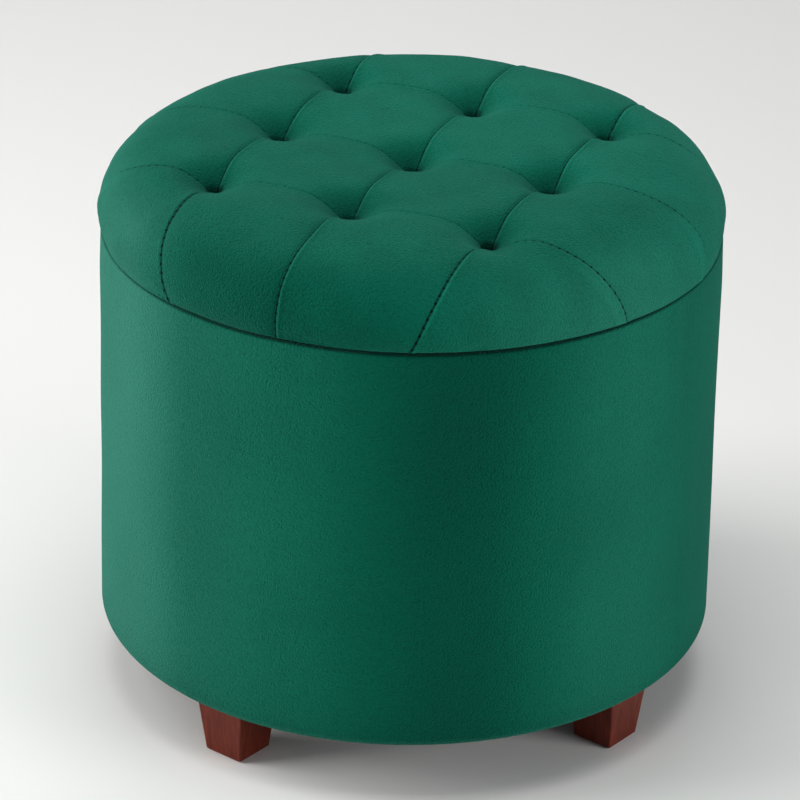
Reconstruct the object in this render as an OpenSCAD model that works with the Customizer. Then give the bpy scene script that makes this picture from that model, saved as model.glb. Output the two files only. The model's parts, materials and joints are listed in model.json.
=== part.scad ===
// Round storage ottoman: a padded drum on four tapered wooden feet, closed by a loose,
// padded lid that lifts off. The lid is tufted in a square grid of nine pulled-down points.
// The origin is on the floor under the centre, +Z is up, and the feet stand on the
// diagonals between X and Y. The lid is drawn in place on the drum.

/* [Drum] */
// Outer diameter of the covered drum
drum_d = 510; // [420:5:600]
// Height of the covered drum, without its feet and lid
drum_h = 345.5; // [250:0.5:420]
// Thickness of each of the two bent plies of the wall
ply_t = 4.8; // [3:0.2:8]
// Thickness of the foam wrapped round the wall
wall_foam_t = 5.2; // [3:0.2:12]
// Thickness of the velvet
velvet_t = 1.2; // [0.8:0.1:2]
// Radius at which the velvet rolls over the drum's rim
rim_roll_r = 3; // [2:0.5:5]
// Radius at which the velvet rolls under the drum
bottom_roll_r = 6.5; // [3:0.5:6.5]
// Depth to which the velvet is turned in below the rim
turn_in = 50; // [30:1:80]
// Width of the velvet folded under the drum
fold_under = 70; // [60:1:90]
// Thickness of the base board
base_t = 12; // [9:1:18]
// Thickness of the board that lies on the bottom of the storage space
floor_board_t = 4; // [3:0.5:6]
// Thickness of the lining fabric on the storage floor
floor_lining_t = 1; // [0.6:0.2:2]
// Thickness of the card-backed lining of the storage wall
wall_lining_t = 2.4; // [2:0.1:4]
// Thickness of the black dust cover under the drum
dust_cover_t = 0.6; // [0.4:0.1:1]

/* [Feet] */
// Height of the drum's underside above the floor
floor_clearance = 57; // [45:1:90]
// Width of a foot at its top
foot_top_w = 49; // [36:1:60]
// Width of a foot where it meets the floor
foot_bottom_w = 37; // [24:1:50]
// Distance from the drum's axis to a foot's axis
foot_circle_r = 216.5; // [180:0.5:222]
// Radius of the foot's long edges
foot_edge_r = 1.4; // [0.5:0.1:4]
// Diameter of the hanger bolts
bolt_d = 8; // [6:1:10]
// Depth to which a hanger bolt is screwed into its foot
bolt_depth = 28; // [20:1:40]

/* [Lid] */
// Height of the lid's crown above its underside
lid_h = 74; // [60:1:100]
// How far the lid's side swells past the drum
lid_swell = 0.9; // [0:0.1:4]
// Radius of the roll along the lid's bottom edge
lid_edge_r = 2.5; // [2:0.5:6]
// Gap between the drum's rim and the lid's underside
lid_gap = 0.6; // [0.4:0.1:2]
// Angle by which the loose lid is turned on the drum, in degrees
lid_turn = -30.5; // [-45:0.5:45]
// Thickness of the lid board
lid_board_t = 12; // [9:1:18]
// Thickness of the fibre wrap between the lid's foam and its cover
batting_t = 5; // [3:0.5:10]
// Width of the velvet folded under the lid
lid_fold = 42; // [30:1:60]
// Depth of the ring that keeps the lid in place
locator_h = 12; // [9:1:20]
// Width of the locating ring, across its section
locator_w = 22; // [15:1:30]
// Gap all round between the locating ring and the lining
locator_play = 4; // [2:0.5:8]

/* [Tufting] */
// Distance between neighbouring tufts
tuft_pitch = 121.3; // [90:0.1:140]
// Height of the bottom of each tuft above the lid board
tuft_floor = 12; // [6:1:25]
// Radius of a tuft's funnel at its bottom
tuft_bottom_r = 4; // [3:0.5:8]
// Radius of a tuft's funnel at the height of the crown
tuft_mouth_r = 24; // [15:1:30]
// Diameter of the tufting twine
twine_d = 1.8; // [1:0.1:3]
// Diameter of the washer that anchors a twine under the lid board
washer_d = 18; // [12:1:24]

/* [Hidden] */
$fn = 96;

// Gap left between curved layers that are glued or lie against each other
layer_gap = 0.3;
// Clearance all round a screw or bolt in its hole
hole_clearance = 0.1;
// Length by which a cutting shape runs past the face that it cuts
past = 1;

// Drum, from the outside in
drum_r = drum_d / 2;
foam_r = drum_r - velvet_t - layer_gap;
outer_ply_r = foam_r - wall_foam_t - layer_gap;
inner_ply_r = outer_ply_r - ply_t - layer_gap;
wall_inside_r = inner_ply_r - ply_t;
base_r = wall_inside_r - layer_gap;
lining_r = wall_inside_r - layer_gap;
lining_inside_r = lining_r - wall_lining_t;
lining_lap_r = lining_inside_r + 1;

// Heights in the drum
drum_z = floor_clearance;
rim_z = drum_z + drum_h;
board_z = drum_z + velvet_t + 0.2;
board_top_z = board_z + base_t;
wall_top_z = rim_z - velvet_t - 0.2;
floor_board_z = board_top_z + 0.2;
floor_lining_z = floor_board_z + floor_board_t;
storage_floor_z = floor_lining_z + floor_lining_t;
turn_in_z = rim_z - turn_in;
lining_top_z = turn_in_z + 14;
fold_r = drum_r - fold_under;
ply_joint_gap = 1.5;

// Feet and their fixings
foot_h = drum_z - dust_cover_t - 0.2;
foot_angles = [225, 315, 135, 45];
foot_chamfer = 1.5;
bolt_hole_d = bolt_d + 2 * hole_clearance;
bolt_hole_depth = bolt_depth + 2;
tee_barrel_d = bolt_d + 2.4;
tee_barrel_h = 9;
tee_flange_d = 22;
tee_flange_t = 1.5;
tee_prongs = 3;

// Base screws
base_screw_count = 8;
base_screw_l = 28;
base_screw_turn = 22.5;

// Lid
lid_z = rim_z + lid_gap;
lid_r = drum_r + lid_swell;
lid_flat_r = 0.35 * drum_r;
lid_roundness = 2.56;
lid_side_h = 5;
lid_board_z = lid_z + velvet_t + 0.2;
lid_board_top_z = lid_board_z + lid_board_t;
batting_inset = velvet_t + layer_gap;
foam_inset = batting_inset + batting_t + layer_gap;
lid_board_r = lid_r - foam_inset - 2;
lid_fold_r = drum_r - lid_fold;
underlining_t = 0.6;
underlining_r = lining_inside_r - 1;
locator_r = lining_inside_r - locator_play;
locator_z = lid_z - underlining_t - 0.2 - locator_h;
locator_screw_count = 6;
locator_screw_l = 24;

// Tufts
tuft_cells = [-1, 0, 1];
tuft_z = lid_board_top_z + tuft_floor;
crown_z = lid_z + lid_h;
twine_hole_d = 5;
twine_knot_d = 5;
washer_t = 1.6;

// Staples
staple_wire = 0.8;
staple_crown = 10;
rim_staple_leg = 4.5;

// Colours
velvet_green = "#11664d";
foam_cream = "#e9dcb8";
fibre_white = "#f1f1ec";
board_brown = "#b58f60";
wood_red = "#6b2a1c";
lining_black = "#1f2021";
steel = "#b9bcc0";
zinc = "#cfc69c";

// ---- Shapes used by several parts ----

// Points along an arc in a half section, for the rounded corners of turned shapes
function roll(centre_r, centre_z, radius, from, to) =
    [for (k = [0 : 8]) let (a = from + (to - from) * k / 8)
        [centre_r + radius * cos(a), centre_z + radius * sin(a)]];

// A round tube, standing on z
module tube(z, height, outer_r, inner_r)
{
    translate([0, 0, z])
    difference()
    {
        cylinder(h = height, r = outer_r);
        translate([0, 0, -past]) cylinder(h = height + 2 * past, r = inner_r);
    }
}

// A countersunk wood screw along +Z with its head's face at the origin, pointing up.
// grow makes the hole for it.
module wood_screw(length, grow = 0)
{
    head_r = 3.6 + grow;
    shank_r = 1.75 + grow;
    tip_h = 3;
    rotate_extrude()
    polygon([
        [0, -grow], [head_r, -grow], [head_r, 0.4], [shank_r, 2.6],
        [shank_r, length - tip_h + grow], [0, length + grow]
    ]);
}

// A staple driven along +Z, its crown along Y and centred on the origin
module staple(leg = 8)
{
    leg_y = (staple_crown - staple_wire) / 2;
    translate([-staple_wire / 2, -staple_crown / 2, 0])
        cube([staple_wire, staple_crown, staple_wire]);
    for (y = [-leg_y, leg_y])
        translate([-staple_wire / 2, y - staple_wire / 2, 0])
            cube([staple_wire, staple_wire, leg]);
}

// A ring of staples driven upwards at radius r and height z
module staple_ring(count, r, z, turn = 0)
{
    for (k = [0 : count - 1])
        rotate([0, 0, turn + k * 360 / count])
            translate([r, 0, z])
                staple();
}

// Each foot's axis, for the parts that repeat under every foot
module at_each_foot()
{
    for (angle = foot_angles)
        rotate([0, 0, angle])
            translate([foot_circle_r, 0, 0])
                children();
}

// Each tuft's axis, turned with the lid
module at_each_tuft()
{
    rotate([0, 0, lid_turn])
    for (column = tuft_cells, row = tuft_cells)
        translate([column * tuft_pitch, row * tuft_pitch, 0])
            children();
}

// ---- Drum ----

// One bent ply, with the open butt joint where its two ends meet. The inner ply's top
// corner is rounded where the velvet turns over it.
module bent_ply(outer_r, joint_angle, corner_r)
{
    inner_r = outer_r - ply_t;
    difference()
    {
        rotate_extrude()
            polygon(concat(
                [[inner_r, board_z], [outer_r, board_z], [outer_r, wall_top_z]],
                roll(inner_r + corner_r, wall_top_z - corner_r, corner_r, 90, 180)
            ));
        rotate([0, 0, joint_angle])
            translate([outer_r - ply_t - past, -ply_joint_gap / 2, board_z - past])
                cube([ply_t + 2 * past, ply_joint_gap, wall_top_z - board_z + 2 * past]);
        base_screw_set(hole_clearance);
    }
}

module base_screw_set(grow = 0)
{
    for (k = [0 : base_screw_count - 1])
        rotate([0, 0, base_screw_turn + k * 360 / base_screw_count])
            translate([outer_ply_r, 0, board_z + base_t / 2])
                rotate([0, -90, 0])
                    wood_screw(base_screw_l, grow);
}

module wall_outer_ply()
{
    color(board_brown) bent_ply(outer_ply_r, 90, 0.2);
}

module wall_inner_ply()
{
    color(board_brown) bent_ply(inner_ply_r, 270, rim_roll_r - velvet_t - layer_gap);
}

// The drum's floor, with a counterbored hole for each tee nut
module base_board()
{
    color(board_brown)
    difference()
    {
        translate([0, 0, board_z]) cylinder(h = base_t, r = base_r);
        at_each_foot()
        {
            translate([0, 0, board_z - past])
                cylinder(h = base_t + 2 * past, d = tee_barrel_d + 0.4);
            translate([0, 0, board_top_z - tee_flange_t - 0.1])
                cylinder(h = tee_flange_t + past, d = tee_flange_d + 1);
            tee_prong_set(hole_clearance);
        }
        base_screw_set(hole_clearance);
    }
}

module base_screws()
{
    color(zinc) base_screw_set();
}

// The foam round the wall, its outer corners rounded under the velvet's rolls
module wall_foam()
{
    inner_r = foam_r - wall_foam_t;
    top_corner_r = rim_roll_r - velvet_t - layer_gap;
    bottom_corner_r = bottom_roll_r - velvet_t - layer_gap;
    color(foam_cream)
    rotate_extrude()
    polygon(concat(
        [[inner_r, wall_top_z], [inner_r, board_z]],
        roll(foam_r - bottom_corner_r, board_z + bottom_corner_r, bottom_corner_r, -90, 0),
        roll(foam_r - top_corner_r, wall_top_z - top_corner_r, top_corner_r, 0, 90)
    ));
}

// Section of the velvet from its edge under the drum, up the side, over the rim and
// down to its turned-in edge. inset 0 is its outer face.
function cover_face(inset, inside_r) =
    let (rim = rim_roll_r - inset)
    concat(
        [[fold_r, drum_z + inset]],
        roll(drum_r - bottom_roll_r, drum_z + bottom_roll_r, bottom_roll_r - inset, -90, 0),
        roll(drum_r - rim_roll_r, rim_z - rim_roll_r, rim, 0, 90),
        roll(inside_r + rim_roll_r, rim_z - rim_roll_r, rim, 90, 180),
        [[inside_r + inset, turn_in_z]]
    );

function reversed(list) = [for (k = [len(list) - 1 : -1 : 0]) list[k]];

module body_cover()
{
    turned_r = wall_inside_r - layer_gap - velvet_t;
    color(velvet_green)
    difference()
    {
        rotate_extrude()
            polygon(concat(cover_face(0, turned_r), reversed(cover_face(velvet_t, turned_r))));
        at_each_foot()
            translate([0, 0, drum_z - past])
                cylinder(h = velvet_t + 2 * past, d = bolt_hole_d + 1);
    }
}

// Staples that hold the velvet's fold under the base board
module cover_staples()
{
    color(steel) staple_ring(32, fold_r + 9, drum_z + 0.1, 5.625);
}

// Staples that hold the velvet's turned-in edge to the wall, behind the lining
module rim_staples()
{
    color(steel)
    for (k = [0 : 31])
        rotate([0, 0, k * 360 / 32 + 3])
            translate([wall_inside_r - layer_gap - velvet_t + 0.1, 0, turn_in_z + 6])
                rotate([0, 90, 0])
                    staple(rim_staple_leg);
}

// The card-backed lining, thinner where it laps over the turned-in velvet
module wall_lining()
{
    lap_z = turn_in_z - 2;
    color(lining_black)
    rotate_extrude()
    polygon([
        [lining_inside_r, floor_board_z], [lining_r, floor_board_z], [lining_r, lap_z],
        [lining_lap_r, lap_z], [lining_lap_r, lining_top_z], [lining_inside_r, lining_top_z]
    ]);
}

module floor_board()
{
    color(board_brown)
    translate([0, 0, floor_board_z])
        cylinder(h = floor_board_t, r = lining_inside_r - layer_gap);
}

module floor_lining()
{
    color(lining_black)
    translate([0, 0, floor_lining_z])
        cylinder(h = floor_lining_t, r = lining_inside_r - layer_gap);
}

// The dust cover: flat under the velvet's fold, and lifted to the board inside it
module dust_cover()
{
    edge_r = drum_r - 12;
    low_z = drum_z - dust_cover_t - 0.1;
    high_z = board_z - dust_cover_t - 0.1;
    color(lining_black)
    difference()
    {
        rotate_extrude()
        polygon([
            [0, high_z], [fold_r - 4, high_z], [fold_r - 1.5, low_z], [edge_r, low_z],
            [edge_r, low_z + dust_cover_t], [fold_r - 1, low_z + dust_cover_t],
            [fold_r - 3.5, high_z + dust_cover_t], [0, high_z + dust_cover_t]
        ]);
        at_each_foot()
            translate([0, 0, low_z - past])
                cylinder(h = dust_cover_t + 2 * past, d = bolt_hole_d + 1);
    }
}

// Staples that hold the dust cover, set between the feet
module dust_cover_staples()
{
    color(steel)
    for (quarter = [0 : 3], k = [-3 : 3])
        rotate([0, 0, quarter * 90 + k * 10])
            translate([drum_r - 18, 0, drum_z - dust_cover_t - 0.3])
                staple();
}

// ---- Feet ----

module tee_prong_set(grow = 0)
{
    for (k = [0 : tee_prongs - 1])
        rotate([0, 0, k * 360 / tee_prongs + 60])
            translate([tee_flange_d / 2 - 1.8 - grow, -1.5 - grow, board_top_z - 8 - grow])
                cube([1 + 2 * grow, 3 + 2 * grow, 7]);
}

// Flanged tee nuts, let in flush with the top of the base board
module tee_nuts()
{
    color(zinc)
    at_each_foot()
    {
        difference()
        {
            union()
            {
                translate([0, 0, board_top_z - tee_flange_t])
                    cylinder(h = tee_flange_t, d = tee_flange_d);
                translate([0, 0, board_top_z - tee_barrel_h])
                    cylinder(h = tee_barrel_h, d = tee_barrel_d);
            }
            translate([0, 0, board_top_z - tee_barrel_h - past])
                cylinder(h = tee_barrel_h + 2 * past, d = bolt_hole_d);
        }
        tee_prong_set();
    }
}

// Hanger bolts: wood thread in the foot below, machine thread in the tee nut above
module hanger_bolts()
{
    tip_h = 4;
    color(steel)
    at_each_foot()
    {
        translate([0, 0, foot_h - bolt_depth + tip_h])
            cylinder(h = board_top_z - foot_h + bolt_depth - tip_h - 0.3, d = bolt_d);
        translate([0, 0, foot_h - bolt_depth])
            cylinder(h = tip_h, d1 = 2, d2 = bolt_d);
    }
}

// One thin slice of a foot: a square with rounded corners
module foot_slice(width, z)
{
    span = width / 2 - foot_edge_r;
    translate([0, 0, z])
    linear_extrude(height = 0.01)
    hull()
        for (x = [-span, span], y = [-span, span])
            translate([x, y])
                circle(r = foot_edge_r, $fn = 24);
}

// A tapered square foot, standing square to the drum's radius
module foot(angle)
{
    color(wood_red)
    rotate([0, 0, angle])
    translate([foot_circle_r, 0, 0])
    difference()
    {
        hull()
        {
            foot_slice(foot_bottom_w - 2 * foot_chamfer, 0);
            foot_slice(foot_bottom_w, foot_chamfer);
            foot_slice(foot_top_w, foot_h - 0.01);
        }
        translate([0, 0, foot_h - bolt_hole_depth])
            cylinder(h = bolt_hole_depth + past, d = bolt_hole_d);
    }
}

module foot_front_left() { foot(foot_angles[0]); }
module foot_front_right() { foot(foot_angles[1]); }
module foot_back_left() { foot(foot_angles[2]); }
module foot_back_right() { foot(foot_angles[3]); }

// ---- Lid ----

// Half section of the padded lid, drawn in by inset from its outer face and cut off
// flat at bottom_z: a rolled bottom edge, a nearly upright side and a rounded shoulder
function lid_section(inset, bottom_z) =
    let (side_r = lid_r - inset)
    let (side_z = lid_z + lid_side_h)
    let (rise = lid_h - lid_side_h - inset)
    let (edge = max(lid_edge_r - inset, 0.2))
    concat(
        [[0, bottom_z]],
        roll(side_r - edge, bottom_z + edge, edge, -90, 0),
        [for (k = [0 : 20]) let (a = k * 4.5) [
            lid_flat_r + (side_r - lid_flat_r) * pow(cos(a), 2 / lid_roundness),
            side_z + rise * pow(sin(a), 2 / lid_roundness)
        ]],
        [[0, side_z + rise]]
    );

// The funnels that the tufts pull into the lid, deeper and wider by inset. They run a
// little way above the crown.
module tuft_funnels(inset)
{
    at_each_tuft()
        translate([0, 0, tuft_z - inset])
            cylinder(
                h = crown_z + past - tuft_z + inset,
                r1 = tuft_bottom_r + inset,
                r2 = tuft_mouth_r + inset
            );
}

// The padded form of the lid at one depth below its outer face
module lid_form(inset, bottom_z)
{
    difference()
    {
        rotate_extrude() polygon(lid_section(inset, bottom_z));
        tuft_funnels(inset);
    }
}

module twine_holes(hole_d, z, height)
{
    at_each_tuft()
        translate([0, 0, z])
            cylinder(h = height, d = hole_d);
}

module locator_screw_set(grow = 0)
{
    for (k = [0 : locator_screw_count - 1])
        rotate([0, 0, lid_turn + k * 360 / locator_screw_count])
            translate([locator_r - locator_w / 2, 0, locator_z])
                wood_screw(locator_screw_l, grow);
}

// The lid's board, drilled for the twines and recessed below for their washers
module lid_board()
{
    color(board_brown)
    difference()
    {
        translate([0, 0, lid_board_z]) cylinder(h = lid_board_t, r = lid_board_r);
        twine_holes(twine_hole_d, lid_board_z - past, lid_board_t + 2 * past);
        twine_holes(washer_d + 1, lid_board_z - past, past + washer_t + twine_knot_d);
        locator_screw_set(hole_clearance);
    }
}

module lid_foam()
{
    color(foam_cream)
    difference()
    {
        lid_form(foam_inset, lid_board_top_z + 0.2);
        twine_holes(twine_d + 1, lid_board_top_z - past, tuft_floor + past);
    }
}

module lid_batting()
{
    color(fibre_white)
    difference()
    {
        lid_form(batting_inset, lid_board_z + 0.2);
        lid_form(batting_inset + batting_t, lid_board_z - past);
        twine_holes(twine_d + 1, lid_board_top_z - past, tuft_floor + past);
    }
}

// The velvet: the whole outer face, the funnels and the part folded under the board
module lid_cover()
{
    color(velvet_green)
    difference()
    {
        lid_form(0, lid_z);
        lid_form(velvet_t, lid_z + velvet_t);
        translate([0, 0, lid_z - past]) cylinder(h = velvet_t + 2 * past, r = lid_fold_r);
        locator_screw_set(hole_clearance);
    }
}

module lid_staples()
{
    color(steel) staple_ring(30, lid_fold_r + 5, lid_z + 0.1, lid_turn + 6);
}

// The fabric that closes the lid's underside, stepped over the velvet's edge
module lid_underlining()
{
    low_z = lid_z - underlining_t - 0.1;
    high_z = lid_board_z - underlining_t - 0.1;
    color(lining_black)
    difference()
    {
        rotate_extrude()
        polygon([
            [0, high_z], [lid_fold_r - 4, high_z], [lid_fold_r - 1.5, low_z],
            [underlining_r, low_z], [underlining_r, low_z + underlining_t],
            [lid_fold_r - 1, low_z + underlining_t],
            [lid_fold_r - 3.5, high_z + underlining_t], [0, high_z + underlining_t]
        ]);
        locator_screw_set(hole_clearance);
    }
}

// The ring that drops inside the drum's rim and stops the lid sliding
module locator_ring()
{
    color(board_brown)
    difference()
    {
        tube(locator_z, locator_h, locator_r, locator_r - locator_w);
        locator_screw_set(hole_clearance);
    }
}

module locator_screws()
{
    color(zinc) locator_screw_set();
}

// Twines from the bottom of each tuft down to a knot under its washer
module tuft_twines()
{
    knot_z = lid_board_z + twine_knot_d / 2;
    top_z = tuft_z - velvet_t - 0.1;
    color(fibre_white)
    at_each_tuft()
    {
        translate([0, 0, knot_z]) cylinder(h = top_z - knot_z, d = twine_d);
        translate([0, 0, knot_z]) sphere(d = twine_knot_d - 0.4, $fn = 24);
    }
}

module twine_washers()
{
    color(steel)
    twine_washer_set();
}

module twine_washer_set()
{
    z = lid_board_z + twine_knot_d;
    difference()
    {
        twine_holes(washer_d, z, washer_t);
        twine_holes(twine_d + 0.4, z - past, washer_t + 2 * past);
    }
}

wall_outer_ply();
wall_inner_ply();
base_board();
base_screws();
wall_foam();
body_cover();
cover_staples();
rim_staples();
wall_lining();
floor_board();
floor_lining();
dust_cover();
dust_cover_staples();
tee_nuts();
hanger_bolts();
foot_front_left();
foot_front_right();
foot_back_left();
foot_back_right();
lid_board();
lid_foam();
lid_batting();
lid_cover();
lid_staples();
lid_underlining();
locator_ring();
locator_screws();
tuft_twines();
twine_washers();
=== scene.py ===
import json
import math

import bmesh
import bpy
import numpy as np
from mathutils import Matrix, Vector


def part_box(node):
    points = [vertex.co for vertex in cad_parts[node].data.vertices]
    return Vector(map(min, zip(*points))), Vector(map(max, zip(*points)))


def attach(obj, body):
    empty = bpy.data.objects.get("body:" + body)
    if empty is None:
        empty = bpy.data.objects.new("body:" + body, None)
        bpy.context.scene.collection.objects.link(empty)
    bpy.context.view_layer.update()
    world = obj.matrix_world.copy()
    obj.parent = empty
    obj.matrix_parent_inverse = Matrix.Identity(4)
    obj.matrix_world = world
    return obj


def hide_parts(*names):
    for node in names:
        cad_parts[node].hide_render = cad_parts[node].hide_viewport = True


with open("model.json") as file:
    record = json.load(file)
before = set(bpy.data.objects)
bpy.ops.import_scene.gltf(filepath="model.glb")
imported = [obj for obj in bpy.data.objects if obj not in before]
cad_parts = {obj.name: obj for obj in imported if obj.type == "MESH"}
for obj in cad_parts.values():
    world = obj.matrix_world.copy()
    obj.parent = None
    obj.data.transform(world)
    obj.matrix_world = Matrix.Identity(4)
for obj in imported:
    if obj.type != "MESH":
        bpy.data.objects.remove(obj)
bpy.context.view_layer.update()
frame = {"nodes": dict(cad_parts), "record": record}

# ---------------------------------------------------------------- sizes, in metres

MM = 0.001


def corners(node):
    low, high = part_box(node)
    return Vector(low), Vector(high)


drum_low, drum_high = corners("body_cover")
DRUM_R = (drum_high.x - drum_low.x) / 2
DRUM_Z = drum_low.z
RIM_Z = drum_high.z
LID_Z = corners("lid_cover")[0].z

# The lid's grid of tufts, as on the CAD lid
TUFT_PITCH = 121.3 * MM
LID_TURN = math.radians(-30.5)
SEAM_LINES = (-TUFT_PITCH, 0.0, TUFT_PITCH)

# The camera: where the photograph was taken from, in drum radii from the centre of
# the drum's bottom edge, and turned from the feet's axes
VIEW_TURN = math.radians(-6.4)
VIEW_ELEVATION = math.radians(26.2)
VIEW_ROLL = 0.0203
VIEW_DISTANCE = 14.383 * DRUM_R
VIEW_ASIDE = -0.027 * DRUM_R
VIEW_RAISED = 0.716 * DRUM_R
FOCAL_PX = 4383.7
FRAME_PX = 800
SENSOR_MM = 36.0

# The studio: soft panels by azimuth (0 is the camera's side, positive to its right),
# elevation, size, power and colour
LIGHT_DISTANCE = 2.8
LIGHT_TARGET = 0.25
WHITE = (1.0, 1.0, 1.0)
LIGHTS = {
    "window_left": (-86, 14, (1.8, 1.0), 56.5, (1.0, 0.99, 0.97)),
    "fill_right": (64, 11, (1.3, 0.8), 34.5, (0.98, 0.99, 1.0)),
    "high_left": (-90, 45, (1.4, 1.4), 18, WHITE),
    "top": (0, 85, (2.0, 2.0), 35, WHITE),
    "behind": (180, 35, (1.8, 1.4), 12, WHITE),
}
WORLD_COLOUR = (0.93, 0.96, 1.0, 1)
WORLD_LIGHT = 0.14
FLOOR_COLOUR = (0.93, 0.925, 0.91, 1)
FLOOR_HALF = 12

rng = np.random.default_rng(7)


# ---------------------------------------------------------------- small helpers


def link(obj):
    bpy.context.scene.collection.objects.link(obj)
    return obj


def mesh_object(name, verts, faces, material, smooth=True):
    mesh = bpy.data.meshes.new(name)
    mesh.from_pydata([tuple(v) for v in verts], [], [tuple(f) for f in faces])
    mesh.validate()
    mesh.update()
    if smooth:
        mesh.polygons.foreach_set("use_smooth", [True] * len(mesh.polygons))
    mesh.materials.append(material)
    return link(bpy.data.objects.new(name, mesh))


def grid_faces(rows, columns, wrap=False):
    """Quads of a rows x columns grid of points, closed round the columns if wrap."""
    last = columns if wrap else columns - 1
    r, c = np.meshgrid(np.arange(rows - 1), np.arange(last), indexing="ij")
    here = r * columns + c
    right = r * columns + (c + 1) % columns
    return np.stack([here, right, right + columns, here + columns], -1).reshape(-1, 4)


def on_circle(r, angle, z):
    """Points at radius, angle and height, one to a row."""
    return np.stack([r * np.cos(angle), r * np.sin(angle), z], -1).reshape(-1, 3)


def thicken(obj, thickness):
    solid = obj.modifiers.new("cloth_thickness", "SOLIDIFY")
    solid.thickness = thickness
    solid.offset = -1.0


def add_vector_attribute(obj, name, values):
    layer = obj.data.attributes.new(name, "FLOAT_VECTOR", "POINT")
    layer.data.foreach_set("vector", np.asarray(values, float).ravel())


def smoothstep(x, low, high):
    t = np.clip((x - low) / (high - low), 0.0, 1.0)
    return t * t * (3 - 2 * t)


def bell(x, width):
    return np.exp(-((x / width) ** 2))


def from_front(angle):
    """Bearing of an angle about Z from the middle of the camera's side."""
    return angle + math.pi / 2 - VIEW_TURN


class Waves:
    """A smooth random field over the plane, from -1 to 1, made of sine waves."""

    def __init__(self, size, count=24):
        angle = rng.uniform(0, 2 * math.pi, count)
        k = 2 * math.pi / size * rng.uniform(0.6, 1.4, count)
        self.waves = list(zip(k * np.cos(angle), k * np.sin(angle), rng.uniform(0, 2 * math.pi, count)))

    def __call__(self, x, y):
        total = np.zeros(np.shape(x))
        for kx, ky, phase in self.waves:
            total += np.sin(kx * x + ky * y + phase)
        return total / math.sqrt(len(self.waves) * 2)


# ---------------------------------------------------------------- camera, floor, light


def make_camera():
    turn = Matrix.Rotation(VIEW_TURN, 3, "Z")
    sin_e, cos_e = math.sin(VIEW_ELEVATION), math.cos(VIEW_ELEVATION)
    back, raised = VIEW_DISTANCE * cos_e, VIEW_RAISED + VIEW_DISTANCE * sin_e
    place = turn @ Vector((VIEW_ASIDE, -back, raised)) + Vector((0, 0, DRUM_Z))
    forward = Vector((0, cos_e, -sin_e))
    right = Vector((1, 0, 0))
    up = right.cross(forward)
    across = math.cos(VIEW_ROLL) * right + math.sin(VIEW_ROLL) * up
    upward = -math.sin(VIEW_ROLL) * right + math.cos(VIEW_ROLL) * up
    data = bpy.data.cameras.new("camera")
    data.sensor_width = SENSOR_MM
    data.lens = SENSOR_MM * FOCAL_PX / FRAME_PX
    data.clip_end = 50
    camera = link(bpy.data.objects.new("camera", data))
    axes = Matrix((turn @ across, turn @ upward, turn @ -forward)).transposed()
    camera.matrix_world = Matrix.Translation(place) @ axes.to_4x4()
    bpy.context.scene.camera = camera


def area_light(name, azimuth, elevation, size, power, colour):
    """A soft panel aimed at the object."""
    data = bpy.data.lights.new(name, "AREA")
    data.shape = "RECTANGLE"
    data.size, data.size_y = size
    data.energy = power
    data.color = colour
    light = link(bpy.data.objects.new(name, data))
    a = math.radians(azimuth - 90) + VIEW_TURN
    e = math.radians(elevation)
    direction = Vector((math.cos(a) * math.cos(e), math.sin(a) * math.cos(e), math.sin(e)))
    light.location = direction * LIGHT_DISTANCE + Vector((0, 0, LIGHT_TARGET))
    light.rotation_euler = direction.to_track_quat("Z", "Y").to_euler()


def make_studio():
    scene = bpy.context.scene
    scene.view_settings.view_transform = "Standard"
    scene.view_settings.look = "None"
    world = bpy.data.worlds.new("studio")
    world.use_nodes = True
    background = world.node_tree.nodes["Background"]
    background.inputs["Color"].default_value = WORLD_COLOUR
    background.inputs["Strength"].default_value = WORLD_LIGHT
    scene.world = world
    for name, settings in LIGHTS.items():
        area_light(name, *settings)
    square = [(x * FLOOR_HALF, y * FLOOR_HALF, 0) for x, y in ((-1, -1), (1, -1), (1, 1), (-1, 1))]
    mesh_object("studio_floor", square, [(0, 1, 2, 3)], material_floor(), smooth=False)


# ---------------------------------------------------------------- materials

# Velvet by the way its pile lies in patches, and what brushing, the hollows between
# its pebbles, the seams and the painted shade in the tufts darken it to
VELVET_PATCHES = (
    (0.30, (0.0012, 0.151, 0.093)),
    (0.50, (0.0013, 0.159, 0.098)),
    (0.72, (0.0015, 0.168, 0.1035)),
)
VELVET_BRUSHED = (0.0006, 0.070, 0.042)
VELVET_HOLLOWS = (0.0006, 0.050, 0.030)
VELVET_SEAMS_AND_PIT_SHADE = (0.0002, 0.007, 0.005)
VELVET_SHEEN = (0.27, 0.88, 0.74, 1)
# How much of each: the brushing, the hollows by the pebbles and by the fine nap, and how
# the hollows fade where the painted brightness of pile lie and light is higher
BRUSHED_MOST = 0.16
HOLLOW_PEBBLES, HOLLOW_NAP = 0.62, 0.25
HOLLOW_CONTRAST, HOLLOW_FADE, HOLLOW_LEAST = 1.45, 0.75, 0.4
PEBBLE_DEPTH = 0.9

# The lid's seams: the half width of the dark line, the share of a stitch that is needle
# hole, and where they pass from the lid's top to its side. For the column seams and the
# row seams, how dark the line is on top, how much darker on the side, and how dark the
# holes are on top.
STITCH_PITCH = 7.2 * MM
SEAM_HALF_WIDTH = 0.0012
HOLE_FROM = 0.62
SIDE_FROM, SIDE_OVER = 0.17, 0.07
HOLES_ON_SIDE = 0.85
HOLE_SUNK = 2.0
COLUMN_SEAMS = (0.90, 0.00, 0.25)
ROW_SEAMS = (0.14, 0.58, 0.30)
# Painted shade darkens the bottom of a tuft out to the first distance, fading over the second
PIT_PAINTED_SHADE, PIT_PAINTED_SHADE_OVER = 0.004, 0.005
DARKEST = 0.97

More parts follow.
